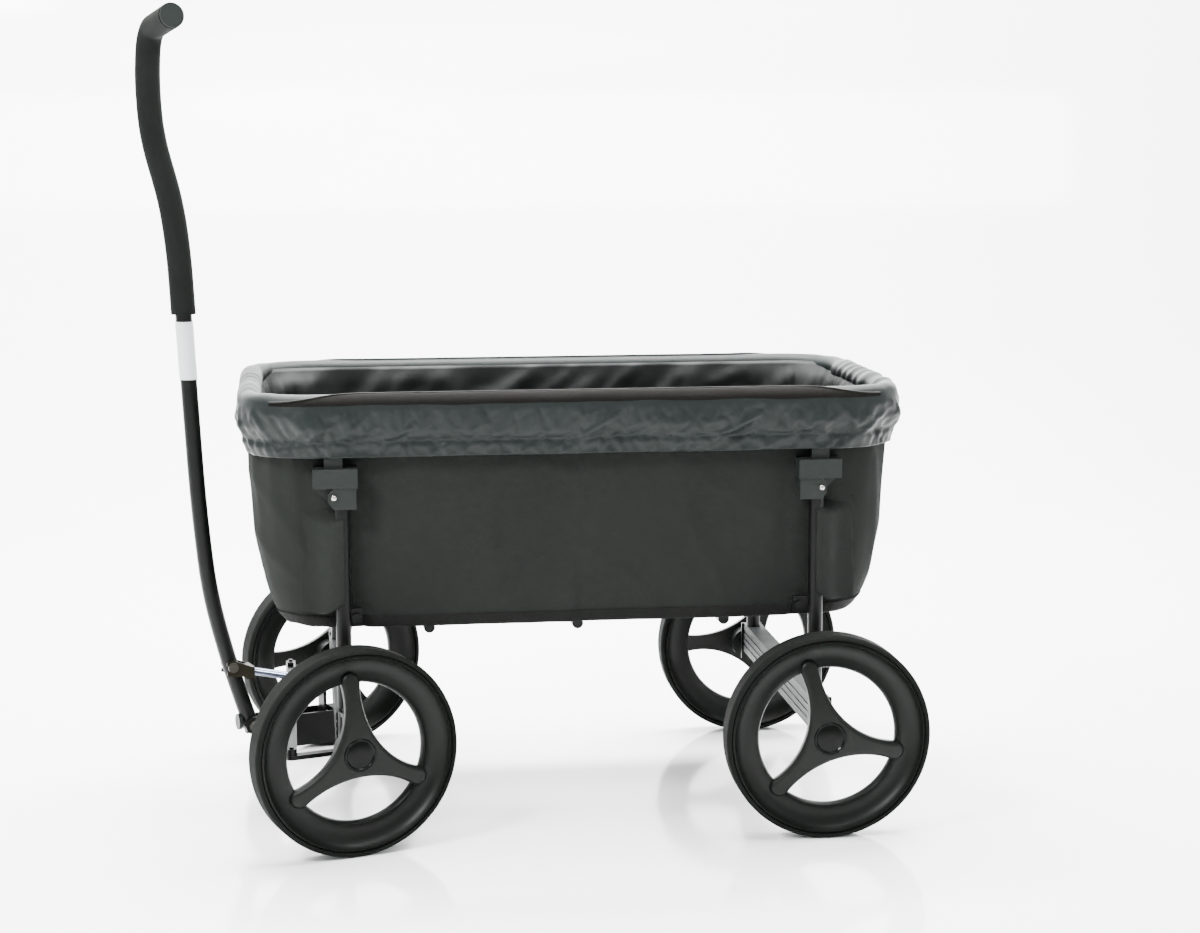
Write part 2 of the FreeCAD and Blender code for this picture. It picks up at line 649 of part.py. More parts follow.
def saddle(rivet_x, inward):
    """Moulded hanger from the rim tube to the side rivet, with its inner cheek and rivet."""
    outer_x = rivet_x - inward * 27
    inner_x = rivet_x + inward * 31
    low_x = min(outer_x, inner_x)
    high_x = max(outer_x, inner_x)
    upper = box(low_x, high_x, 199.6, 230, RIVET_Z + 12, RIVET_Z + 37.5)
    strap = box(rivet_x - 12, rivet_x + 12, 212, 220, RIVET_Z + 37, RIM_Z - 4)
    strap = strap.cut(cylinder(RIM_TUBE_R + FIT, (-600, RIM_HALF_Y, RIM_Z), (600, RIM_HALF_Y, RIM_Z)))
    cheek = plate_xz(
        [
            (outer_x + inward * 2, RIVET_Z + 13),
            (outer_x + inward * 2, RIVET_Z + 8),
            (rivet_x + inward * 1, RIVET_Z - 17),
            (rivet_x + inward * 9, RIVET_Z - 17),
            (rivet_x + inward * 9, RIVET_Z + 13),
        ],
        199.6,
        202.6,
    )
    rivet = y_cylinder(3, rivet_x, RIVET_Z, 200, 231)
    head = y_cylinder(3.6, rivet_x, RIVET_Z, 228.4, 231)
    return fuse(upper, strap, cheek, rivet, head)


save("saddles_rear", *both_sides(saddle(REAR_RIVET_X, -1)))
save("saddles_front", *both_sides(saddle(FRONT_RIVET_X, 1)))


# ---- soft goods: tub and skirt ---------------------------------------------------------------
def skirt_half():
    """Padded roll over the rim tube with the skirt hanging outside it, as one closed solid."""
    start = CENTRE_X + 0.2
    y = -RIM_HALF_Y
    inner_r = RIM_TUBE_R + 0.6

    def point(outward, rise):
        return V(start, y - outward, RIM_Z + rise)

    def run(a, b):
        return Part.LineSegment(point(*a), point(*b)).toShape()

    def bow(a, b, c):
        return Part.Arc(point(*a), point(*b), point(*c)).toShape()

    section = Part.Wire(
        [
            bow((-ROLL_R, 0), (0, ROLL_R), (ROLL_R, 0)),
            run((ROLL_R, 0), (ROLL_R - 2, -HEM_DROP)),
            run((ROLL_R - 2, -HEM_DROP), (ROLL_R - 5, -HEM_DROP)),
            run((ROLL_R - 5, -HEM_DROP), (inner_r, 0)),
            bow((inner_r, 0), (0, inner_r), (-inner_r, 0)),
            run((-inner_r, 0), (-inner_r, -15)),
            run((-inner_r, -15), (-ROLL_R, -15)),
            run((-ROLL_R, -15), (-ROLL_R, 0)),
        ]
    )
    path = half_path(0, RIM_Z, start)
    return path.makePipeShell([section], True, False)


skirt = skirt_half()
save("skirt_rear", skirt)
save("skirt_front", mirror_fold(skirt))


def tub_outline(half_x, half_y, corner, z):
    """Rear half of the tub's plan outline as a closed wire."""
    x0 = CENTRE_X + 0.2
    x1 = CENTRE_X + half_x
    diagonal = corner * (1 - math.sqrt(0.5))
    edges = [
        Part.LineSegment(V(x0, -half_y, z), V(x1 - corner, -half_y, z)).toShape(),
        Part.Arc(
            V(x1 - corner, -half_y, z),
            V(x1 - diagonal, -half_y + diagonal, z),
            V(x1, -half_y + corner, z),
        ).toShape(),
        Part.LineSegment(V(x1, -half_y + corner, z), V(x1, half_y - corner, z)).toShape(),
        Part.Arc(
            V(x1, half_y - corner, z),
            V(x1 - diagonal, half_y - diagonal, z),
            V(x1 - corner, half_y, z),
        ).toShape(),
        Part.LineSegment(V(x1 - corner, half_y, z), V(x0, half_y, z)).toShape(),
        Part.LineSegment(V(x0, half_y, z), V(x0, -half_y, z)).toShape(),
    ]
    return Part.Wire(edges)


# Height and half length of the tub: steep walls that tuck in towards the floor.
TUB_STATIONS = ((TUB_LOW, 386), (300, 398), (330, 408), (400, 423), (490, 428), (TUB_TOP, 430))


def tub_block(inset, low, high):
    stations = [(z, half_x) for z, half_x in TUB_STATIONS if low < z < high]
    stations = [(low, TUB_STATIONS[0][1])] + stations + [(high, TUB_STATIONS[-1][1])]
    wires = []
    for z, half_x in stations:
        wires.append(tub_outline(half_x - inset, TUB_HALF_Y - inset, 74 - inset, z))
    return Part.makeLoft(wires, True, True)


def tub_half():
    """Half of the open-topped tub, open in the middle of its bottom for the floor panel."""
    outer = tub_block(0, TUB_LOW, TUB_TOP)
    inner = tub_block(TUB_WALL, TUB_LOW + TUB_WALL, TUB_TOP + 1)
    inner = inner.fuse(box(CENTRE_X - 1, CENTRE_X + 1, -TUB_HALF_Y + TUB_WALL, TUB_HALF_Y - TUB_WALL, 290, 567))
    shell = outer.cut(inner)
    floor_opening = box(CENTRE_X - 1, CENTRE_X + END_FLOOR_X, -TUB_HALF_Y + TUB_WALL,
                        TUB_HALF_Y - TUB_WALL, 280, 295)
    shell = shell.cut(floor_opening)
    for y0, y1 in ((-210, -190), (190, 210)):
        shell = shell.cut(y_cylinder(5.5, REAR_PIVOT_X, FLOOR_PIVOT_Z, y0, y1))
    return shell


tub = tub_half()
save("tub_rear", tub)
save("tub_front", mirror_fold(tub))

# Short webbing tab sewn to the rear end wall.
save("rear_tab", box(CENTRE_X + 428.5, CENTRE_X + 431.5, -12, 12, 466, 496))


# ---- floor: two hinged panels and three cross tubes -------------------------------------------
def floor_panel():
    """Stiff floor half with a side rail on each edge, turning on the leg's bolts."""
    near_edge = CENTRE_X + FLOOR_GAP
    far_edge = CENTRE_X + END_FLOOR_X - 4
    board = box(near_edge, far_edge, -186, 186, 286, 293)
    pieces = [board]
    for side in (-1, 1):
        low_y = min(side * 187, side * 191)
        rail = box(near_edge + 20, REAR_PIVOT_X, low_y, low_y + 4, 286, 306)
        rail_end = y_cylinder(6, REAR_PIVOT_X, FLOOR_PIVOT_Z, low_y, low_y + 4)
        foot = box(near_edge + 20, far_edge - 14, min(side * 180, side * 188), max(side * 180, side * 188),
                   286, 290)
        pieces += [rail, rail_end, foot]
    panel = fuse(*pieces)
    return panel.cut(y_cylinder(3 + FIT, REAR_PIVOT_X, FLOOR_PIVOT_Z, -250, 250))


def cross_tube(x):
    """Floor cross tube with a rounded plug in each end."""
    tube = y_cylinder(FLOOR_TUBE_R, x, FLOOR_TUBE_Z, -FLOOR_TUBE_Y + 6, FLOOR_TUBE_Y - 6)
    plugs = []
    for side in (-1, 1):
        low_y = min(side * (FLOOR_TUBE_Y - 6), side * FLOOR_TUBE_Y)
        plug = y_cylinder(FLOOR_TUBE_R, x, FLOOR_TUBE_Z, low_y, low_y + 6)
        plugs.append(plug)
    return fuse(tube, *plugs)


panel = floor_panel()
save("floor_panel_rear", panel)
save("floor_panel_front", mirror_fold(panel))
save("cross_tube_rear", cross_tube(CENTRE_X + FLOOR_TUBE_X))
save("cross_tube_front", cross_tube(CENTRE_X - FLOOR_TUBE_X))
save("cross_tube_centre", cross_tube(CENTRE_X))
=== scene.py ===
"""Looks of the folding beach cart: fabrics, materials, floor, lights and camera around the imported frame.

Metres, +Z up, ground at Z = 0, front (drawbar end) towards -X, near side towards -Y.
"""
import json
import math
import bpy
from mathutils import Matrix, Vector, noise


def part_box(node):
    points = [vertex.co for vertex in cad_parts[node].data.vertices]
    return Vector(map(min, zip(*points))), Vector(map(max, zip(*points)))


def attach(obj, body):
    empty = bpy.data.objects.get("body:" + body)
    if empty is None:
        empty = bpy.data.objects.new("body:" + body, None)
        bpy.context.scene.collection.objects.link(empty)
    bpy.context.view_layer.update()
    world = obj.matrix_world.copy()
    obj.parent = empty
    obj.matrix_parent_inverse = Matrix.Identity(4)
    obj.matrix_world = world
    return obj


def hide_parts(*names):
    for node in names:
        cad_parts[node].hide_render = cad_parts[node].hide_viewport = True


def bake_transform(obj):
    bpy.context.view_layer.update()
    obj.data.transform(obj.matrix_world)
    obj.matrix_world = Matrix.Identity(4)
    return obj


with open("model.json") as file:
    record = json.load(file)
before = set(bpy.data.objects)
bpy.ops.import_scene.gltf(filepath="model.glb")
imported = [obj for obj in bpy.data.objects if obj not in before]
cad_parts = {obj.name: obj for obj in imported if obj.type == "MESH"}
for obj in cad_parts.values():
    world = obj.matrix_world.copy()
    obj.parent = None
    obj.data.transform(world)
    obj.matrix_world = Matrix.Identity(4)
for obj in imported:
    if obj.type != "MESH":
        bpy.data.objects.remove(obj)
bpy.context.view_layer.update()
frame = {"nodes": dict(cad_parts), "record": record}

# ---- places and sizes taken from the frame ---------------------------------------------------
rear_low, rear_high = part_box("rim_tube_rear")
front_low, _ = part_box("rim_tube_front")
_, tub_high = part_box("tub_rear")

TUBE_R = (rear_high.z - rear_low.z) / 2
RIM_Z = (rear_high.z + rear_low.z) / 2
CENTRE_X = (front_low.x + rear_high.x) / 2
RIM_HALF_X = rear_high.x - CENTRE_X - TUBE_R
RIM_HALF_Y = rear_high.y - TUBE_R
RIM_CORNER = 0.082
TUB_HALF_Y = tub_high.y
TUB_CORNER = 0.074
TUB_TOP = tub_high.z
# Height and half length of the tub's walls, which tuck in towards the floor.
TUB_STATIONS = (
    (0.287, 0.386), (0.300, 0.398), (0.330, 0.408), (0.400, 0.423), (0.490, 0.428), (0.590, 0.4305),
)
HEM_DROP = 0.068
GATHER_DROP = 0.047        # stitched line above the skirt's elastic hem
ROLL_R = 0.0145            # nylon over the rim tube

LEG_X = {"rear": 0.311, "front": -0.321}
RIVET_X = {"rear": 0.315, "front": -0.331}
RIVET_Z = 0.462
RIVET_Y = 0.231            # outer face of the hanger that the rivet's head sits on

WALL_BOTTOM = 0.289        # canvas above the turned-under lower edge
SLEEVE_TOP = 0.4455
SLEEVE_LOW = 0.306
SLEEVE_SEAM_Y = 0.1960     # the pockets are sewn into the wall here
FLOOR_HALF_Y = 0.1862
FLOOR_RAIL_Y = (0.1868, 0.1910)
FLOOR_RAIL_INNER = 0.038   # rail ends, from the fold plane
FLOOR_PIVOT = 0.296


# ---- material helpers ------------------------------------------------------------------------
def material(name):
    made = bpy.data.materials.new(name)
    made.use_nodes = True
    shader = made.node_tree.nodes["Principled BSDF"]
    return made, made.node_tree, shader


def node(tree, kind, settings=(), **inputs):
    """A node with its settings and inputs; an input that is a socket is linked."""
    made = tree.nodes.new(kind)
    for key, value in settings:
        setattr(made, key, value)
    for key, value in inputs.items():
        place = made.inputs[key.replace("_", " ")]
        if isinstance(value, bpy.types.NodeSocket):
            tree.links.new(value, place)
        else:
            place.default_value = value
    return made


def calc(tree, operation, first, second=0.0):
    made = tree.nodes.new("ShaderNodeMath")
    made.operation = operation
    for place, value in zip(made.inputs, (first, second)):
        if isinstance(value, bpy.types.NodeSocket):
            tree.links.new(value, place)
        else:
            place.default_value = value
    return made.outputs[0]


def object_place(tree):
    return node(tree, "ShaderNodeTexCoord").outputs["Object"]


def stretched(tree, place, scale):
    return node(tree, "ShaderNodeMapping", Vector=place, Scale=scale).outputs["Vector"]


def grain(tree, place, scale, detail=2.0, roughness=0.5):
    made = node(tree, "ShaderNodeTexNoise", Vector=place, Scale=scale, Detail=detail, Roughness=roughness)
    return made.outputs["Fac"]


def ramp(tree, value, low, high):
    """value from 0 to 1 mapped to low to high."""
    made = node(tree, "ShaderNodeMapRange", Value=value, To_Min=low, To_Max=high)
    return made.outputs["Result"]


def tint(tree, value, dark, light):
    made = tree.nodes.new("ShaderNodeMix")
    made.data_type = "RGBA"
    tree.links.new(value, made.inputs["Factor"])
    made.inputs["A"].default_value = (*dark, 1)
    made.inputs["B"].default_value = (*light, 1)
    return made.outputs["Result"]


def lit(colour, factor):
    return tuple(min(1.0, part * factor) for part in colour)


def raise_surface(tree, shader, height, depth, strength=1.0, under=None):
    bump = node(tree, "ShaderNodeBump", Height=height, Distance=depth, Strength=strength)
    if under is not None:
        tree.links.new(under, bump.inputs["Normal"])
    tree.links.new(bump.outputs["Normal"], shader.inputs["Normal"])
    return bump.outputs["Normal"]


def threads(tree, pitch):
    """Plain weave from the cloth's own UVs, which are in metres."""
    uv = node(tree, "ShaderNodeUVMap", (("uv_map", "cloth"),)).outputs["UV"]
    parts = node(tree, "ShaderNodeSeparateXYZ", Vector=uv)
    turn = math.pi / pitch
    warp = calc(tree, "SINE", calc(tree, "MULTIPLY", parts.outputs["X"], turn))
    weft = calc(tree, "SINE", calc(tree, "MULTIPLY", parts.outputs["Y"], turn))
    return uv, calc(tree, "MULTIPLY", warp, weft)


# ---- materials -------------------------------------------------------------------------------
def canvas(name, colour, pitch=0.0011, rough=0.86):
    """Heavy woven polyester: plain weave, slubs and a slightly uneven dye."""
    made, tree, shader = material(name)
    uv, weave = threads(tree, pitch)
    slubs = grain(tree, stretched(tree, uv, (140, 900, 1)), 1.0, 3.0)
    dye = grain(tree, uv, 9.0, 4.0)
    shade = calc(tree, "ADD", calc(tree, "MULTIPLY", slubs, 0.5), calc(tree, "MULTIPLY", dye, 0.5))
    tree.links.new(tint(tree, shade, lit(colour, 0.72), lit(colour, 1.28)), shader.inputs["Base Color"])
    tree.links.new(ramp(tree, slubs, rough - 0.08, min(1.0, rough + 0.08)), shader.inputs["Roughness"])
    shader.inputs["Specular IOR Level"].default_value = 0.10
    shader.inputs["Sheen Roughness"].default_value = 0.5
    soft = raise_surface(tree, shader, grain(tree, uv, 55.0, 3.0), 0.0012, 0.35)
    raise_surface(tree, shader, calc(tree, "ADD", weave, slubs), 0.00022, 0.8, soft)
    return made


def nylon(name, colour, rough=0.40):
    """Thin coated nylon: tight weave, a satin gloss and small sharp creases."""
    made, tree, shader = material(name)
    uv, weave = threads(tree, 0.0005)
    crinkle = node(tree, "ShaderNodeTexNoise", (("noise_type", "RIDGED_MULTIFRACTAL"),),
                   Vector=uv, Scale=26.0, Detail=4.0, Roughness=0.55).outputs["Fac"]
    dye = grain(tree, uv, 14.0, 3.0)
    tree.links.new(tint(tree, dye, lit(colour, 0.84), lit(colour, 1.16)), shader.inputs["Base Color"])
    tree.links.new(ramp(tree, dye, rough - 0.05, rough + 0.08), shader.inputs["Roughness"])
    shader.inputs["Specular IOR Level"].default_value = 0.17
    soft = raise_surface(tree, shader, crinkle, 0.0020, 0.55)
    raise_surface(tree, shader, weave, 0.00008, 0.5, soft)
    return made


def moulded(name, colour, rough, grain_depth=0.00010, specular=0.5, coat=0.0):
    """Moulded plastic with fine spark-eroded grain and faint handling marks."""
    made, tree, shader = material(name)
    place = object_place(tree)
    fine = grain(tree, place, 1600.0, 2.0)
    marks = grain(tree, stretched(tree, place, (1, 1, 5)), 34.0, 5.0, 0.62)
    broad = grain(tree, place, 7.0, 2.0)
    shade = calc(tree, "ADD", calc(tree, "MULTIPLY", marks, 0.4), calc(tree, "MULTIPLY", broad, 0.6))
    tree.links.new(tint(tree, shade, lit(colour, 0.82), lit(colour, 1.2)), shader.inputs["Base Color"])
    tree.links.new(ramp(tree, marks, max(0.02, rough - 0.08), rough + 0.10), shader.inputs["Roughness"])
    shader.inputs["Specular IOR Level"].default_value = specular
    shader.inputs["Coat Weight"].default_value = coat
    shader.inputs["Coat Roughness"].default_value = 0.08
    raise_surface(tree, shader, fine, grain_depth, 0.8)
    return made


def foam(name, colour, pore, rough):
    """Closed-cell foam skin: small pores and rubbed patches."""
    made, tree, shader = material(name)
    place = object_place(tree)
    cells = node(tree, "ShaderNodeTexVoronoi", Vector=place, Scale=1 / pore).outputs["Distance"]
    rubbed = grain(tree, place, 22.0, 4.0)
    tree.links.new(tint(tree, rubbed, lit(colour, 0.8), lit(colour, 1.25)), shader.inputs["Base Color"])
    tree.links.new(ramp(tree, rubbed, rough + 0.06, rough - 0.08), shader.inputs["Roughness"])
    shader.inputs["Specular IOR Level"].default_value = 0.06
    raise_surface(tree, shader, cells, 0.00022, 0.6)
    return made


def powder_coat(name, colour, rough=0.36):
    made, tree, shader = material(name)
    place = object_place(tree)
    peel = grain(tree, place, 420.0, 2.0)
    worn = grain(tree, place, 26.0, 5.0, 0.6)
    tree.links.new(tint(tree, worn, lit(colour, 0.8), lit(colour, 1.25)), shader.inputs["Base Color"])
    tree.links.new(ramp(tree, worn, rough - 0.08, rough + 0.10), shader.inputs["Roughness"])
    shader.inputs["Specular IOR Level"].default_value = 0.14
    raise_surface(tree, shader, peel, 0.00018, 0.5)
    return made


def bare_metal(name, colour, rough, brush=(1, 1, 1), brushed=0.5, metal=1.0):
    made, tree, shader = material(name)
    place = object_place(tree)
    lines = grain(tree, stretched(tree, place, brush), 160.0, 3.0)
    smudge = grain(tree, place, 30.0, 4.0)
    tree.links.new(tint(tree, smudge, lit(colour, 0.82), lit(colour, 1.12)), shader.inputs["Base Color"])
    tree.links.new(ramp(tree, smudge, max(0.04, rough - 0.05), rough + 0.12), shader.inputs["Roughness"])
    shader.inputs["Metallic"].default_value = metal
    shader.inputs["Specular IOR Level"].default_value = 0.3
    raise_surface(tree, shader, lines, 0.00006, brushed)
    return made


CHARCOAL = (0.0030, 0.0039, 0.0031)
MATERIALS = {
    "tyre_foam": foam("tyre_foam", (0.0046, 0.0054, 0.0047), 0.0009, 0.78),
    "wheel_plastic": moulded("wheel_plastic", CHARCOAL, 0.40, specular=0.15),
    "cap_plastic": moulded("cap_plastic", (0.0020, 0.0026, 0.0021), 0.14, 0.00001, 0.09),
    "bearing_steel": bare_metal("bearing_steel", (0.5, 0.5, 0.5), 0.2, (1, 8, 1)),
    "frame_paint": powder_coat("frame_paint", (0.0030, 0.0035, 0.0031)),
    "beam_metal": bare_metal("beam_metal", (0.010, 0.0115, 0.012), 0.50, (4, 0.3, 4), 0.5, 0.2),
    "black_plastic": moulded("black_plastic", (0.0092, 0.0118, 0.0107), 0.44, 0.00014, 0.20),
    "rod_chrome": bare_metal("rod_chrome", (0.22, 0.25, 0.33), 0.12, (0.3, 1, 1), 0.15),
    "fork_steel": powder_coat("fork_steel", (0.0120, 0.0105, 0.0060), 0.42),
    "bolt_steel": bare_metal("bolt_steel", (0.050, 0.047, 0.040), 0.36, (2, 2, 2), 0.5, 0.5),
    "grip_foam": foam("grip_foam", (0.0065, 0.0075, 0.0068), 0.0012, 0.84),
    "label_white": moulded("label_white", (0.60, 0.62, 0.63), 0.5, 0.00002, 0.4),
    "tub_fabric": canvas("tub_canvas", (0.0112, 0.0130, 0.0116)),
    "floor_board": canvas("floor_canvas", (0.0080, 0.0090, 0.0082), 0.0014),
    "skirt_fabric": nylon("skirt_nylon", (0.0074, 0.0102, 0.0097), 0.36),
}
LINER = nylon("liner_nylon", (0.0032, 0.0041, 0.0038), 0.46)
BINDING = canvas("binding_tape", (0.0060, 0.0066, 0.0060), 0.0016, 0.8)
THREAD = canvas("thread", (0.0060, 0.0066, 0.0060), 0.0004, 0.7)
RIM_CANVAS = canvas("rim_canvas", (0.0040, 0.0036, 0.0030))
PIPING = nylon("piping", (0.010, 0.010, 0.0085), 0.36)
WEBBING = canvas("webbing", (0.0045, 0.0048, 0.0045), 0.0018, 0.75)
RIVET_STEEL = bare_metal("rivet_steel", (0.55, 0.54, 0.50), 0.22, (1, 1, 1), 0.2)

node_slots = {part["node"]: part["material_slot"] for part in frame["record"]["subparts"]}
for name, shape in frame["nodes"].items():
    for place in shape.material_slots:
        place.material = MATERIALS[node_slots[name]]


# ---- mesh helpers ----------------------------------------------------------------------------
def outline_point(segment, share, half_x, half_y, corner):
    """Point and outward direction on a rounded rectangle, from the near side's middle, rearwards."""
    straight_x = half_x - corner
    straight_y = half_y - corner
    if segment == 0:
        return (CENTRE_X + straight_x * share, -half_y), (0, -1)
    if segment == 2:
        return (CENTRE_X + half_x, straight_y * (2 * share - 1)), (1, 0)
    if segment == 4:
        return (CENTRE_X + straight_x * (1 - 2 * share), half_y), (0, 1)
    if segment == 6:
        return (CENTRE_X - half_x, straight_y * (1 - 2 * share)), (-1, 0)
    if segment == 8:
        return (CENTRE_X - straight_x * (1 - share), -half_y), (0, -1)
    centre, start = {
        1: ((straight_x, -straight_y), -90),
        3: ((straight_x, straight_y), 0),
        5: ((-straight_x, straight_y), 90),
        7: ((-straight_x, -straight_y), 180),
    }[segment]
    angle = math.radians(start + 90 * share)
    way = (math.cos(angle), math.sin(angle))
    return (CENTRE_X + centre[0] + corner * way[0], centre[1] + corner * way[1]), way


def rim_columns(step):
    """Evenly spaced columns round the rim as (segment, share, distance), a column on the fold plane."""
    side = RIM_HALF_X - RIM_CORNER
    across = 2 * (RIM_HALF_Y - RIM_CORNER)
    bend = RIM_CORNER * math.pi / 2
    lengths = (side, bend, across, bend, 2 * side, bend, across, bend, side)
    columns = []
    done = 0.0
    for segment, length in enumerate(lengths):
        count = max(2, 2 * round(length / step / 2))
        for index in range(count):
            columns.append((segment, index / count, done + length * index / count))
        done += length
    return columns, done


def mesh_object(name, points, faces, uvs, mat):
    """A mesh piece; uvs holds one (u, v) in metres per vertex of each face."""
    mesh = bpy.data.meshes.new(name)
    mesh.from_pydata(points, [], faces)
    layer = mesh.uv_layers.new(name="cloth")
    flat = [value for face in uvs for pair in face for value in pair]
    layer.data.foreach_set("uv", flat)
    mesh.materials.append(mat)
    mesh.shade_smooth()
    made = bpy.data.objects.new(name, mesh)
    bpy.context.scene.collection.objects.link(made)
    return made


def ring_sheet(name, rows, columns, around, mat):
    """Closed band: rows of points, one list per height, joined round; v runs down the rows."""
    count = len(columns)
    points = [point for row in rows for point in row]
    heights = [0.0]
    for upper, lower in zip(rows, rows[1:]):
        heights.append(heights[-1] + (upper[0] - lower[0]).length)
    faces = []
    uvs = []
    for row in range(len(rows) - 1):
        for column in range(count):
            after = (column + 1) % count
            u0 = columns[column][2]
            u1 = columns[after][2] if after else around
            faces.append((row * count + column, row * count + after,
                          (row + 1) * count + after, (row + 1) * count + column))
            uvs.append(((u0, heights[row]), (u1, heights[row]),
                        (u1, heights[row + 1]), (u0, heights[row + 1])))
    return mesh_object(name, points, faces, uvs, mat)


def thicken(piece, thickness, offset=-1.0, levels=1):
    if levels:
        smooth = piece.modifiers.new("smooth", "SUBSURF")
        smooth.levels = levels
        smooth.render_levels = levels
    solid = piece.modifiers.new("thickness", "SOLIDIFY")
    solid.thickness = thickness
    solid.offset = offset
    settle(piece)


def settle(piece):
    """Apply the modifiers, so that the mesh is the piece's final shape."""
    bpy.context.view_layer.update()
    result = piece.evaluated_get(bpy.context.evaluated_depsgraph_get())
    mesh = bpy.data.meshes.new_from_object(result)
    piece.modifiers.clear()
    piece.data = mesh
    mesh.shade_smooth()


def wobble(x, y, z=0.0):
    return noise.noise(Vector((x, y, z)))


def eased(share):
    """A share from 0 to 1, flattened at both ends."""
    return share * share * (3 - 2 * share)


def ridge(x, y, z=0.0):
    """Noise with sharp crests, 0 to 1."""
    return 1.0 - min(1.0, 2.0 * abs(noise.noise(Vector((x, y, z)))))


def simulate(piece, pinned, grow, frames, cap, gravity=1.0):
    """Cloth that is a little too large for its pinned edges, so that it buckles into creases."""
    scene = bpy.context.scene
    before = [vertex.co.copy() for vertex in piece.data.vertices]
    group = piece.vertex_groups.new(name="pinned")
    for index, weight in pinned.items():
        group.add([index], weight, "REPLACE")
    cloth = piece.modifiers.new("cloth", "CLOTH")
    cloth.settings.quality = 6
    cloth.settings.mass = 0.12
    cloth.settings.tension_stiffness = 18
    cloth.settings.compression_stiffness = 18
    cloth.settings.shear_stiffness = 6
    cloth.settings.bending_stiffness = 0.06
    cloth.settings.air_damping = 3
    cloth.settings.vertex_group_mass = "pinned"
    cloth.settings.shrink_min = -grow
    cloth.settings.effector_weights.gravity = gravity
    cloth.collision_settings.use_collision = False
    cloth.point_cache.frame_start = 1
    cloth.point_cache.frame_end = frames
    for number in range(1, frames + 1):
        scene.frame_set(number)
    settle(piece)
    for vertex, start in zip(piece.data.vertices, before):
        shift = vertex.co - start
        if shift.length > cap:
            vertex.co = start + shift * (cap / shift.length)
    piece.vertex_groups.clear()
    scene.frame_set(1)


def over_fold(piece):
    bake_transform(piece)


def corner_share(segment, share):
    """1 in the middle of a corner or end, 0 in the middle of a long side."""
    if segment in (1, 3, 5, 7):
        return 1.0
    if segment in (2, 6):
        return 0.75
    along = {0: share, 4: abs(2 * share - 1), 8: 1 - share}[segment]
    return max(0.0, (along - 0.72) / 0.28) ** 2


def round_corner(segment, share):
    """0 along the sides, rising to 1 half way round a corner, 1 across the ends."""
    into = {1: share, 2: 1.0, 3: 1 - share, 5: share, 6: 1.0, 7: 1 - share}.get(segment, 0.0)
    return eased(min(1.0, max(0.0, 1.6 * into - 0.5)))


# ---- tub walls -------------------------------------------------------------------------------
def half_length(z):
    for (z0, x0), (z1, x1) in zip(TUB_STATIONS, TUB_STATIONS[1:]):
        if z <= z1:
            return x0 + (x1 - x0) * max(0.0, z - z0) / (z1 - z0)
    return TUB_STATIONS[-1][1]


def leg_clearance(x):
    """1 beside a leg, where the wall stays flat, 0 away from the legs."""
    return max(math.exp(-((x - leg_x) / 0.035) ** 2) for leg_x in LEG_X.values())


def gathers(u, ends, crowd=38.0):
    """Irregular radial pleats round the ends of the rim, about -0.4 to 0.6."""
    return ends * (ridge(u * crowd, 0.7) ** 1.5 - 0.4)


def wall_shift(u, z, x, ends):
    """How far the canvas wall stands in or out at this place."""
    drape = 0.0036 * wobble(u * 6, z * 4, 1.3) + 0.0022 * wobble(u * 17, z * 8, 4.1)
    below_hem = math.exp(-max(0.0, 0.51 - z) / 0.07)
    pleats = 0.0060 * gathers(u, ends, 26.0) * below_hem
    low_scallop = 0.0025 * wobble(u * 26, 7.7) * max(0.0, (0.33 - z) / 0.05)
    creases = 0.0034 * ridge(u * 8 + z * 7, z * 4 - u * 3, 2.2) ** 5
    sag = 0.004 * math.sin(math.pi * min(1.0, max(0.0, (z - 0.30) / 0.26))) * (1 - ends)
    beside_leg = sum(math.exp(-((abs(x - leg_x) - 0.040) / 0.010) ** 2) for leg_x in LEG_X.values())
    soft_fold = -0.0028 * beside_leg * (1 - ends) * math.exp(-((z - 0.42) / 0.08) ** 2)
    return (drape + pleats + low_scallop + creases + sag) * (1 - 0.85 * leg_clearance(x)) + soft_fold


def bottom_lift(u, x, ends):
    """The lower edge rides up where it passes a leg and scallops a little round the ends."""
    at_leg = max(math.exp(-((x - leg_x) / 0.017) ** 2) for leg_x in LEG_X.values())
    return 0.013 * at_leg * (ends < 0.7) + 0.004 * ends * abs(wobble(u * 22, 3.3))


columns, around = rim_columns(0.008)


def tub_shell():
    rows = []
    heights = [TUB_TOP + 0.004 - index * (TUB_TOP + 0.004 - WALL_BOTTOM) / 34 for index in range(35)]
    for z in heights:
        row = []
        for segment, share, u in columns:
            (x, y), way = outline_point(segment, share, half_length(z), TUB_HALF_Y, TUB_CORNER)
            ends = corner_share(segment, share)
            out = wall_shift(u, z, x, ends)
            lift = bottom_lift(u, x, ends) * min(1.0, max(0.0, (0.335 - z) / 0.045))
            row.append(Vector((x + way[0] * out, y + way[1] * out, z + lift)))
        rows.append(row)
    for inset, z in ((0.0015, 0.2862), (0.0050, 0.2850), (0.0085, 0.2856)):
        row = []
        for segment, share, u in columns:
            (x, y), way = outline_point(segment, share, half_length(0.287) - inset,
                                        TUB_HALF_Y - inset, TUB_CORNER - inset)
            ends = corner_share(segment, share)
            out = wall_shift(u, WALL_BOTTOM, x, ends) * (1 - inset / 0.0085)
            lift = bottom_lift(u, x, ends)
            row.append(Vector((x + way[0] * out, y + way[1] * out, z + lift)))
        rows.append(row)
    shell = ring_sheet("tub_shell", rows, columns, around, MATERIALS["tub_fabric"])
    thicken(shell, 0.0012)
    over_fold(shell)
    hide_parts("tub_rear", "tub_front")


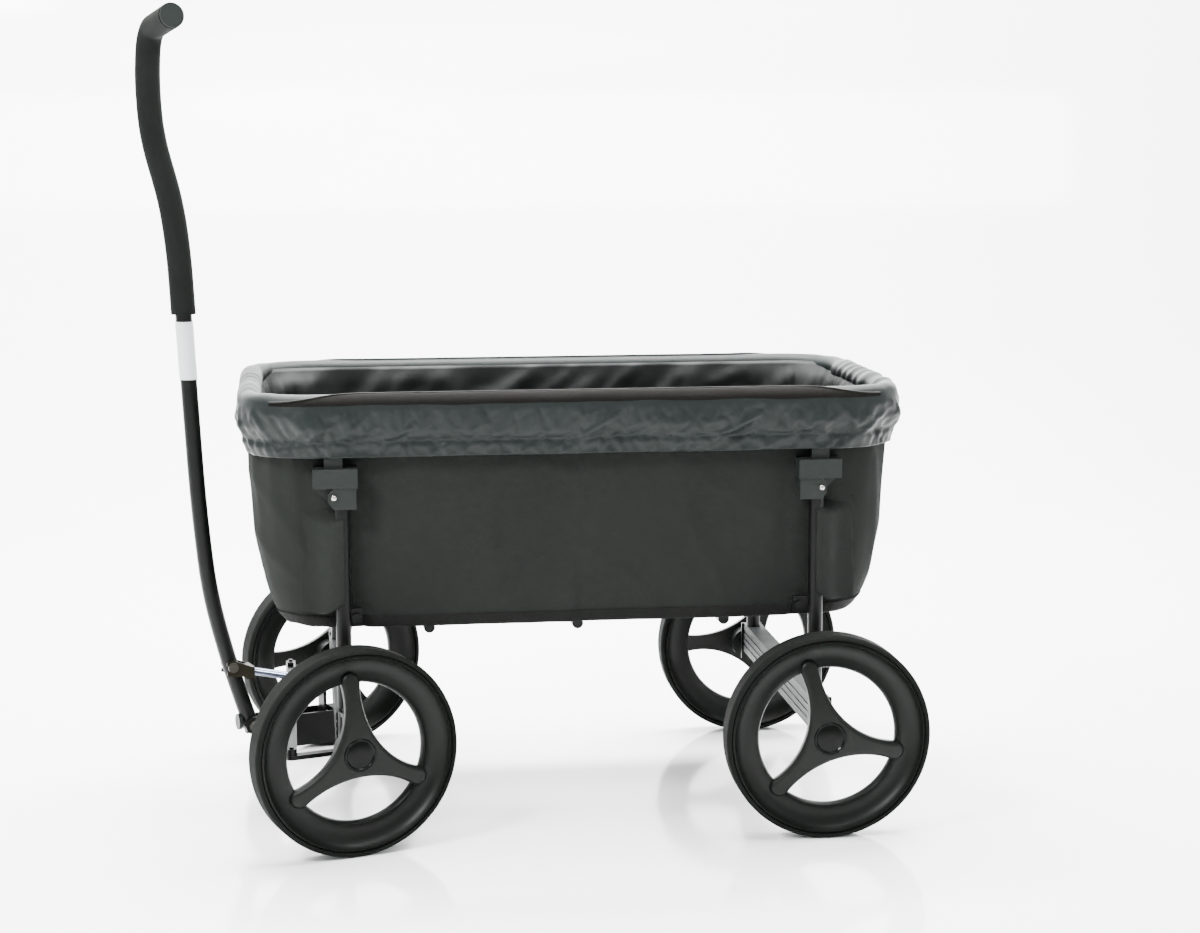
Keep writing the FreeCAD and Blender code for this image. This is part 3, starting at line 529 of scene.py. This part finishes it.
def tub_liner():
    """Thin inner lining, gathered at the corners and slack along the sides."""
    rows = []
    count = 30
    top = RIM_Z + 0.006
    for index in range(count):
        z = top - (top - 0.2945) * index / (count - 1)
        row = []
        for segment, share, u in columns:
            ends = corner_share(segment, share)
            depth = 0.0052 if z < 0.55 else 0.0052 - 0.004 * (z - 0.55) / 0.037
            (x, y), way = outline_point(segment, share, half_length(z) - depth,
                                        TUB_HALF_Y - depth, TUB_CORNER - depth)
            slack = min(1.0, (top - z) / 0.02) * max(0.25, min(1.0, (z - 0.30) / 0.10))
            folds = abs(0.0080 * gathers(u, ends))
            lean = ends * 0.010 * math.exp(-((z - 0.548) / 0.028) ** 2)
            slant = 0.0085 * (ridge(u * 17 + z * 24, z * 7 - u * 5, 5.0) ** 2) * (1 - 0.4 * ends)
            broad = 0.004 * wobble(u * 10, z * 8, 9.0)
            inward = slack * (folds + slant + abs(broad) + lean) + 0.0008
            row.append(Vector((x - way[0] * inward, y - way[1] * inward, z)))
        rows.append(row)
    liner = ring_sheet("tub_liner", rows, columns, around, LINER)
    wide = len(columns)
    held_rows = (0, 1, 2, count - 2, count - 1)
    pinned = {row * wide + column: 1.0 for row in held_rows for column in range(wide)}
    simulate(liner, pinned, 0.03, 14, 0.0035, 0.4)
    thicken(liner, 0.0007, 1.0)
    over_fold(liner)


# ---- skirt -----------------------------------------------------------------------------------
def skirt_out(drop, x, ends):
    """How far out of the rim's axis the skirt hangs: full at the tube, tucked in at the elastic hem."""
    share = min(1.0, drop / HEM_DROP)
    over_strap = max(math.exp(-((x - rivet) / 0.030) ** 2) for rivet in RIVET_X.values())
    hem = 0.0025 + 0.0035 * over_strap * (ends < 0.7)
    bulge = 0.0022 * math.sin(math.pi * min(1.0, share * 1.6)) if share < 0.625 else 0.0
    return ROLL_R + (hem - ROLL_R) * eased(share) + bulge


def skirt_folds(u, drop, ends, rearward):
    """Creases of the hanging nylon; they slant up towards the rear on the rear half of a side."""
    slack = max(0.0, min(1.0, (drop - 0.006) / 0.022))
    across = 0.7 * u + drop
    along = u - 0.7 * drop
    sharp = 0.0062 * ridge(across * 13, along * 2.6, 3.3) ** 5
    broad = 0.0040 * wobble(across * 17, along * 4, 6.4)
    fine = 0.0020 * ridge(across * 40, along * 7, 8.1) ** 6
    upright = 0.0100 * gathers(u - 0.35 * drop, ends, 24.0)
    thin = 0.0030 * ends * ridge((u - 0.5 * drop) * 70, drop * 5, 1.1) ** 4
    below = max(0.0, (drop - GATHER_DROP) / (HEM_DROP - GATHER_DROP))
    pucker = 0.0032 * math.sin(math.pi * min(1.0, below)) * (ridge(u * 60, drop * 5, 5.5) ** 4 - 0.2)
    hanging = (sharp + broad) * rearward + fine + upright + thin
    return slack * hanging * (1 - 0.75 * below) + pucker


def skirt():
    """Nylon over the rim tube with an elastic hem below: creased by a short cloth simulation."""
    fine, fine_around = rim_columns(0.004)
    count = len(fine)
    turns = [math.radians(205 - 16.5 * index) for index in range(13)]
    drops = [0.005 + (HEM_DROP - 0.005) * index / 17 for index in range(18)]
    rows = []
    for angle in turns:
        row = []
        for segment, share, u in fine:
            shift = 0.0042 * gathers(u + 0.02 * math.sin(angle), round_corner(segment, share), 30.0)
            out = (ROLL_R + shift) * math.cos(angle)
            (x, y), _ = outline_point(segment, share, RIM_HALF_X + out, RIM_HALF_Y + out, RIM_CORNER + out)
            row.append(Vector((x, y, RIM_Z + (ROLL_R + shift) * math.sin(angle))))
        rows.append(row)
    for drop in drops:
        row = []
        for segment, share, u in fine:
            ends = corner_share(segment, share)
            (x, y), way = outline_point(segment, share, RIM_HALF_X, RIM_HALF_Y, RIM_CORNER)
            rearward = 0.35 + 0.65 * min(1.0, max(0.0, (x - CENTRE_X + 0.10) / 0.20))
            out = skirt_out(drop, x, ends) + skirt_folds(u, drop, ends, rearward)
            out -= 0.0026 * math.exp(-((drop - GATHER_DROP) / 0.0028) ** 2)
            lift = 0.0018 * wobble(u * 8, 3.0) * drop / HEM_DROP
            row.append(Vector((x + way[0] * out, y + way[1] * out, RIM_Z - drop + lift)))
        rows.append(row)
    cloth = ring_sheet("skirt", rows, fine, fine_around, MATERIALS["skirt_fabric"])
    gather_row = len(turns) + min(range(18), key=lambda index: abs(drops[index] - GATHER_DROP))
    pinned = {}
    for number in range(len(rows)):
        held = number <= len(turns) or number == len(rows) - 1
        weight = 1.0 if held else 0.97 if number == gather_row else 0.0
        if weight:
            pinned.update({number * count + column: weight for column in range(count)})
    simulate(cloth, pinned, 0.030, 18, 0.0030, 0.8)
    line = [cloth.data.vertices[gather_row * count + column].co.copy() for column in range(count)]
    ways = [outline_point(segment, share, RIM_HALF_X, RIM_HALF_Y, RIM_CORNER)[1]
            for segment, share, _ in fine]
    seam = stitches("hem_stitches", line, ways, 0.62)
    thicken(cloth, 0.0006)
    over_fold(cloth)
    over_fold(seam)
    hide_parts("skirt_rear", "skirt_front")


def stitches(name, line, ways, fill):
    """A row of short thread stitches lying on a seam, one to each step of the line."""
    points = []
    faces = []
    for start, end, way in zip(line, line[1:] + line[:1], ways):
        out = Vector((way[0], way[1], 0.0))
        along = end - start
        across = along.normalized().cross(out)
        base = len(points)
        points.append(start + out * 0.0003)
        for share in (0.2 * fill, 0.8 * fill):
            middle = start + along * share + out * 0.0007
            points += [middle + out * 0.0006, middle + across * 0.0007,
                       middle - out * 0.0006, middle - across * 0.0007]
        points.append(start + along * fill + out * 0.0003)
        for side in range(4):
            after = (side + 1) % 4
            faces.append((base, base + 1 + side, base + 1 + after))
            faces.append((base + 1 + side, base + 5 + side, base + 5 + after, base + 1 + after))
            faces.append((base + 9, base + 5 + after, base + 5 + side))
    uvs = [[(points[index].x, points[index].z) for index in face] for face in faces]
    return mesh_object(name, points, faces, uvs, THREAD)


def side_place(along, side):
    """A point on the rim's axis and its outward direction, along metres from the fold."""
    straight = RIM_HALF_X - RIM_CORNER
    beyond = abs(along) - straight
    if beyond <= 0:
        return Vector((CENTRE_X + along, side * RIM_HALF_Y, RIM_Z)), Vector((0, side, 0))
    turn = beyond / RIM_CORNER
    ahead = math.copysign(1.0, along)
    way = Vector((ahead * math.sin(turn), side * math.cos(turn), 0))
    centre = Vector((CENTRE_X + ahead * straight, side * (RIM_HALF_Y - RIM_CORNER), RIM_Z))
    return centre + way * RIM_CORNER, way


def strip_mesh(name, rows, flip, mat):
    """An open strip from rows of points of one length."""
    wide = len(rows[0])
    points = [point for row in rows for point in row]
    faces = []
    uvs = []
    for r in range(len(rows) - 1):
        for c in range(wide - 1):
            face = (r * wide + c, r * wide + c + 1, (r + 1) * wide + c + 1, (r + 1) * wide + c)
            face = face[::-1] if flip else face
            faces.append(face)
            uvs.append([(points[index].x, 0.003 * (index // wide)) for index in face])
    return mesh_object(name, points, faces, uvs, mat)


def rim_band(name, side):
    """Canvas band over the top of a long rim side, running out on the corners, with a piped edge."""
    reach = RIM_HALF_X - RIM_CORNER + 0.050
    steps = 150
    turns = 11
    places = [reach * (2 * index / steps - 1) for index in range(steps + 1)]
    edges = []
    for along in places:
        end = eased(min(1.0, max(0.0, (abs(along) - reach + 0.13) / 0.13)))
        high = 98 - 76 * end + 1.5 * wobble(along * 12, side)
        low = 4 - 2 * end + 4 * wobble(along * 9, side * 3.0) * (1 - end)
        edges.append((math.radians(low), math.radians(high)))
    rows = []
    for turn in range(turns + 1):
        share = turn / turns
        proud = ROLL_R + 0.0004 + 0.0009 * min(1.0, 6 * share, 6 * (1 - share))
        row = []
        for along, (low, high) in zip(places, edges):
            axis, way = side_place(along, side)
            angle = low + (high - low) * share
            radius = proud + 0.0005 * wobble(along * 16, share * 2, side)
            row.append(axis + way * radius * math.cos(angle) + Vector((0, 0, radius * math.sin(angle))))
        rows.append(row)
    band = strip_mesh(name, rows, side > 0, RIM_CANVAS)
    thicken(band, 0.0008)
    bead = []
    for index in range(9):
        spin = 2 * math.pi * index / 8
        row = []
        for along, (low, high) in zip(places, edges):
            axis, way = side_place(along, side)
            radius = ROLL_R + 0.0013 + 0.0010 * math.cos(spin)
            angle = high + 0.0010 * math.sin(spin) / ROLL_R
            row.append(axis + way * radius * math.cos(angle) + Vector((0, 0, radius * math.sin(angle))))
        bead.append(row)
    piping = strip_mesh(name + "_piping", bead, side > 0, PIPING)
    over_fold(band)
    over_fold(piping)


# ---- small fabric pieces ---------------------------------------------------------------------
def leg_sleeve(name, body, leg_x, inward, side):
    """Fabric pocket hung round a leg, with an arched lower edge and a free inner edge."""
    cross = ((-0.056, 0.1955), (-0.048, 0.1982), (-0.038, 0.2020), (-0.030, 0.2080), (-0.024, 0.2148),
             (-0.018, 0.2210), (-0.012, 0.2252), (-0.006, 0.2272), (-0.001, 0.2276), (0.0022, 0.2270))
    count = 24
    rows = []
    for index in range(count + 1):
        share = index / count
        row = []
        for along, out in cross:
            arch = 0.016 * math.exp(-((along - 0.004) / 0.014) ** 2)
            low = SLEEVE_LOW + arch + 0.004 * wobble(along * 40, leg_x * 7)
            z = SLEEVE_TOP + (low - SLEEVE_TOP) * share
            shift = 0.0014 * wobble(along * 55 + leg_x * 9, z * 17, side * 2.0)
            crease = 0.0016 * ridge(along * 30 - z * 20, z * 8, leg_x) ** 4
            flare = 0.0018 * share ** 4
            rise = eased(min(1.0, share / 0.14))
            place = SLEEVE_SEAM_Y + (out + shift + crease + flare - SLEEVE_SEAM_Y) * rise
            row.append(Vector((leg_x + inward * along, side * place, z)))
        rows.append(row)
    sleeve = strip_mesh(name, rows, side * inward > 0, MATERIALS["tub_fabric"])
    thicken(sleeve, 0.0011)
    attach(sleeve, body)
    return sleeve


def rivet(name, body, x, side):
    """Bright domed head of a side rivet."""
    profile = ((0.0036, 0.0001), (0.0035, 0.0008), (0.0029, 0.0014), (0.0017, 0.0018), (0.0006, 0.0019))
    spokes = 20
    points = []
    for radius, rise in profile:
        for index in range(spokes):
            angle = 2 * math.pi * index / spokes
            points.append(Vector((x + radius * math.cos(angle), side * (RIVET_Y + rise),
                                  RIVET_Z + radius * math.sin(angle))))
    faces = [tuple(range(spokes))[::-1]]
    last = (len(profile) - 1) * spokes
    faces.append(tuple(range(last, last + spokes)))
    for ring in range(len(profile) - 1):
        for index in range(spokes):
            after = (index + 1) % spokes
            faces.append((ring * spokes + index, ring * spokes + after,
                          (ring + 1) * spokes + after, (ring + 1) * spokes + index))
    if side > 0:
        faces = [face[::-1] for face in faces]
    uvs = [[(points[index].x, points[index].z) for index in face] for face in faces]
    head = mesh_object(name, points, faces, uvs, RIVET_STEEL)
    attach(head, body)


def rear_tab():
    """Short loop of webbing sewn to the rear wall."""
    profile = ((0.4200, 0.4975), (0.4219, 0.4965), (0.4232, 0.4920), (0.4243, 0.4850),
               (0.4242, 0.4770), (0.4230, 0.4700), (0.4215, 0.4665), (0.4198, 0.4660))
    rows = []
    for x, z in profile:
        row = []
        for index in range(9):
            y = -0.0115 + 0.023 * index / 8
            row.append(Vector((x + 0.0003 * wobble(y * 300, z * 120), y, z)))
        rows.append(row)
    tab = strip_mesh("webbing_tab", rows, False, WEBBING)
    thicken(tab, 0.0011)
    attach(tab, "rim_rear")
    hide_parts("rear_tab")


def floor_cover(name, cad_node, body):
    """Padded fabric cover over a floor board, quilted in two sewn channels."""
    low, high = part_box(cad_node)
    if high.x > CENTRE_X + 0.1:
        high.x -= 0.003
    else:
        low.x += 0.003
    thick_low = low.z - 0.0003
    thick_high = low.z + 0.0073
    x_count, y_count = 40, 52
    points = []
    for layer in (0, 1):
        for i in range(x_count + 1):
            for j in range(y_count + 1):
                s = 2 * i / x_count - 1
                t = 2 * j / y_count - 1
                x = (low.x + high.x) / 2 + s * (high.x - low.x) / 2
                y = t * FLOOR_HALF_Y
                edge = max(abs(s), abs(t)) ** 24
                channel = sum(math.exp(-((t - at) * FLOOR_HALF_Y / 0.0035) ** 2) for at in (-0.36, 0.36))
                puff = 0.0008 * (1 - channel) * (1 - edge) + 0.0004 * wobble(x * 40, y * 40)
                z = thick_high + puff - 0.0022 * edge if layer else thick_low + 0.0022 * edge
                points.append(Vector((x, y, z)))
    wide = y_count + 1
    offset = (x_count + 1) * wide
    faces = []
    for i in range(x_count):
        for j in range(y_count):
            a = i * wide + j
            faces.append((a + offset, a + wide + offset, a + wide + 1 + offset, a + 1 + offset))
            faces.append((a, a + 1, a + wide + 1, a + wide))
    rim = [i * wide for i in range(x_count + 1)]
    rim += [x_count * wide + j for j in range(1, y_count + 1)]
    rim += [i * wide + y_count for i in range(x_count - 1, -1, -1)]
    rim += [j for j in range(y_count - 1, 0, -1)]
    for a, b in zip(rim, rim[1:] + rim[:1]):
        faces.append((a, b, b + offset, a + offset))
    uvs = [[(points[i].x, points[i].y) for i in face] for face in faces]
    cover = mesh_object(name, points, faces, uvs, MATERIALS["floor_board"])
    smooth = cover.modifiers.new("smooth", "SUBSURF")
    smooth.levels = 1
    settle(cover)
    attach(cover, body)
    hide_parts(cad_node)


def floor_rail(name, body, x_inner, x_pivot, side):
    """Steel rail along the edge of a floor half, rounded at the bolt it turns on."""
    way = math.copysign(1.0, x_pivot - x_inner)
    outline = [(x_inner, 0.3025), (x_inner, 0.2865), (x_pivot - way * 0.003, 0.2865)]
    for index in range(9):
        angle = math.radians(-60 + 150 * index / 8)
        outline.append((x_pivot + way * 0.006 * math.cos(angle), 0.3 + 0.006 * math.sin(angle)))
    outline.append((x_inner + way * 0.0035, 0.306))
    levels = [side * level for level in FLOOR_RAIL_Y]
    points = [Vector((x, y, z)) for y in levels for x, z in outline]
    count = len(outline)
    faces = [tuple(range(count)), tuple(range(2 * count - 1, count - 1, -1))]
    for index in range(count):
        after = (index + 1) % count
        faces.append((index, index + count, after + count, after))
    if side * way > 0:
        faces = [face[::-1] for face in faces]
    uvs = [[(points[index].x, points[index].z) for index in face] for face in faces]
    rail = mesh_object(name, points, faces, uvs, MATERIALS["frame_paint"])
    round_off = rail.modifiers.new("edges", "BEVEL")
    round_off.width = 0.0006
    round_off.segments = 2
    settle(rail)
    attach(rail, body)


def binding():
    """Folded tape sewn over the tub's lower edge."""
    rows = []
    profile = ((0.0016, 0.2990), (0.0021, 0.2960), (0.0022, 0.2900), (0.0016, 0.2855), (0.0000, 0.2838),
               (-0.0030, 0.2834), (-0.0065, 0.2840))
    for out, z in profile:
        row = []
        for segment, share, u in columns:
            inset = max(0.0, -out)
            level = max(z, WALL_BOTTOM)
            half = half_length(level) if z > WALL_BOTTOM else half_length(0.287)
            (x, y), way = outline_point(segment, share, half - inset, TUB_HALF_Y - inset,
                                        TUB_CORNER - inset)
            shift = wall_shift(u, level, x, corner_share(segment, share)) * (1 - inset / 0.0085)
            shift += max(0.0, out)
            lift = bottom_lift(u, x, corner_share(segment, share))
            row.append(Vector((x + way[0] * shift, y + way[1] * shift, z + lift)))
        rows.append(row)
    tape = ring_sheet("bottom_binding", rows, columns, around, BINDING)
    thicken(tape, 0.0008)
    over_fold(tape)
    return tape


tape = binding()
tub_shell()
tub_liner()
skirt()
rim_band("rim_band_near", -1)
rim_band("rim_band_far", 1)
for end, inward in (("rear", -1), ("front", 1)):
    near = leg_sleeve(f"leg_sleeve_{end}_near", end + "_frame", LEG_X[end], inward, -1)
    leg_sleeve(f"leg_sleeve_{end}_far", end + "_frame", LEG_X[end], inward, 1)
    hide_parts(end + "_leg_sleeves")
    floor_cover("floor_cover_" + end, "floor_panel_" + end, "floor_" + end)
    for place, side in (("near", -1), ("far", 1)):
        rivet(f"rivet_{end}_{place}", "rim_" + end, RIVET_X[end], side)
        floor_rail(f"floor_rail_{end}_{place}", "floor_" + end,
                   CENTRE_X - inward * FLOOR_RAIL_INNER, CENTRE_X - inward * FLOOR_PIVOT, side)
rear_tab()


# ---- floor, lights and camera ----------------------------------------------------------------
def studio():
    made, tree, shader = material("studio_floor")
    place = object_place(tree)
    tree.links.new(tint(tree, grain(tree, place, 3.0), (0.90, 0.905, 0.90), (0.93, 0.93, 0.925)),
                   shader.inputs["Base Color"])
    tree.links.new(ramp(tree, grain(tree, place, 5.0), 0.09, 0.14), shader.inputs["Roughness"])
    shader.inputs["Specular IOR Level"].default_value = 0.4
    profile = [(-12.0, 0.0), (2.2, 0.0)]
    for index in range(1, 13):
        angle = math.radians(90 * index / 12)
        profile.append((2.2 + 1.4 * math.sin(angle), 1.4 - 1.4 * math.cos(angle)))
    profile.append((3.6, 6.0))
    points = [(x, y, z) for y, z in profile for x in (-12.0, 12.0)]
    faces = [(2 * i, 2 * i + 1, 2 * i + 3, 2 * i + 2) for i in range(len(profile) - 1)]
    mesh = bpy.data.meshes.new("studio_floor")
    mesh.from_pydata(points, [], faces)
    mesh.materials.append(made)
    mesh.shade_smooth()
    floor = bpy.data.objects.new("studio_floor", mesh)
    bpy.context.scene.collection.objects.link(floor)


def area_light(name, place, target, size, power, colour=(1, 1, 1)):
    lamp = bpy.data.lights.new(name, "AREA")
    lamp.shape = "RECTANGLE"
    lamp.size, lamp.size_y = size
    lamp.energy = power
    lamp.color = colour
    made = bpy.data.objects.new(name, lamp)
    made.location = place
    made.rotation_euler = (Vector(target) - Vector(place)).to_track_quat("-Z", "Y").to_euler()
    bpy.context.scene.collection.objects.link(made)


def camera():
    lens = bpy.data.cameras.new("camera")
    lens.sensor_width = 36.0
    lens.lens = 71.47
    made = bpy.data.objects.new("camera", lens)
    made.location = (-0.38308, -3.29793, 0.95898)
    made.rotation_euler = (math.radians(90 - 8.504), math.radians(0.10), math.radians(-7.443))
    bpy.context.scene.collection.objects.link(made)
    bpy.context.scene.camera = made


studio()
area_light("top", (0.1, 0.2, 2.6), (0, 0, 0.4), (2.4, 1.8), 350)
area_light("key", (-1.9, -1.7, 2.5), (0, 0, 0.4), (0.8, 0.7), 170)
area_light("fill", (2.6, -1.8, 1.2), (0, 0, 0.4), (1.6, 1.6), 15)
area_light("backdrop", (0.0, 1.2, 3.2), (0.0, 3.2, 1.0), (6.0, 1.2), 1050)
world = bpy.data.worlds.new("studio")
world.use_nodes = True
world.node_tree.nodes["Background"].inputs["Color"].default_value = (0.96, 0.98, 1.0, 1)
world.node_tree.nodes["Background"].inputs["Strength"].default_value = 1.1
bpy.context.scene.world = world
camera()
